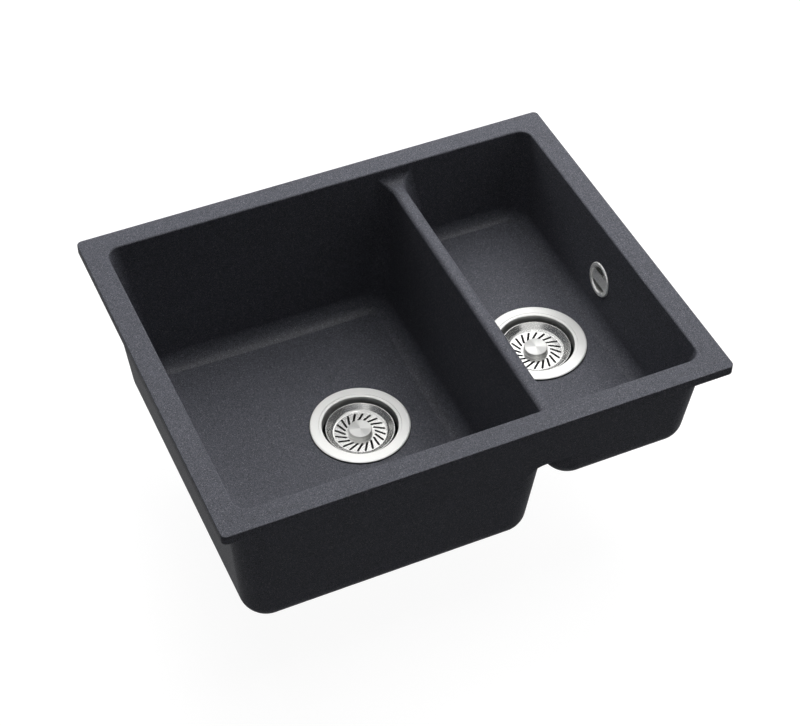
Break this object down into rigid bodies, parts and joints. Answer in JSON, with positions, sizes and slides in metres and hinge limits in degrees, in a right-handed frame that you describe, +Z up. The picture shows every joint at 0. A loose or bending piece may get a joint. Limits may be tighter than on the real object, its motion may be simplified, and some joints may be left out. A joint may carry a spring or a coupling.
{
  "type": "one and a half bowl kitchen sink",
  "caption": "Anthracite granite kitchen sink with a deep main bowl, a small half bowl, basket strainer wastes that lift and turn, and a piped overflow.",
  "frame": {"origin": "centre of the rim's top face, in its plane, on the middle of the outer rectangle", "axes": "+X right along the front edge with the main bowl at -X, +Y to the back, +Z up out of the bowls"},
  "size_m": [0.56, 0.452, 0.28],
  "materials": {
    "granite": "matt moulded granite composite, fine light speckle in anthracite",
    "flange_steel": "satin stainless steel",
    "basket_steel": "bright pressed stainless steel",
    "knob_steel": "turned stainless steel, radially brushed top",
    "screw_steel": "bright stainless steel",
    "insert_brass": "plain turned brass",
    "seal_rubber": "matt black rubber",
    "waste_plastic": "moulded black polypropylene",
    "hose_plastic": "ribbed polyethylene"
  },
  "bodies": {
    "sink": {"sink_bowl": "granite", "main_strainer_cup": "flange_steel", "main_strainer_seal": "seal_rubber", "main_clamp_screw": "screw_steel", "main_screw_insert": "insert_brass", "main_body_seal": "seal_rubber", "main_waste_body": "waste_plastic", "half_strainer_cup": "flange_steel", "half_strainer_seal": "seal_rubber", "half_clamp_screw": "screw_steel", "half_screw_insert": "insert_brass", "half_body_seal": "seal_rubber", "half_waste_body": "waste_plastic", "overflow_ring": "flange_steel", "overflow_plate": "flange_steel", "overflow_screw": "screw_steel", "overflow_insert": "insert_brass", "overflow_seal": "seal_rubber", "overflow_elbow": "waste_plastic", "overflow_hose": "hose_plastic", "hose_nut_upper": "waste_plastic", "hose_nut_lower": "waste_plastic"},
    "main_stopper_lift": {"main_basket_stem": "waste_plastic", "main_stopper": "seal_rubber"},
    "main_basket_turn": {"main_basket": "basket_steel", "main_basket_knob": "knob_steel"},
    "half_stopper_lift": {"half_basket_stem": "waste_plastic", "half_stopper": "seal_rubber"},
    "half_basket_turn": {"half_basket": "basket_steel", "half_basket_knob": "knob_steel"}
  },
  "joints": [
    {"name": "main_lift", "type": "slide", "parent": "sink", "child": "main_stopper_lift", "axis": [0, 0, 1], "range_m": [0, 0.24]},
    {"name": "main_turn", "type": "hinge", "parent": "main_stopper_lift", "child": "main_basket_turn", "pos_m": [-0.0374, 0.013, -0.2013], "axis": [0, 0, 1], "continuous": true},
    {"name": "half_lift", "type": "slide", "parent": "sink", "child": "half_stopper_lift", "axis": [0, 0, 1], "range_m": [0, 0.17]},
    {"name": "half_turn", "type": "hinge", "parent": "half_stopper_lift", "child": "half_basket_turn", "pos_m": [0.1665, -0.0127, -0.1301], "axis": [0, 0, 1], "continuous": true}
  ]
}
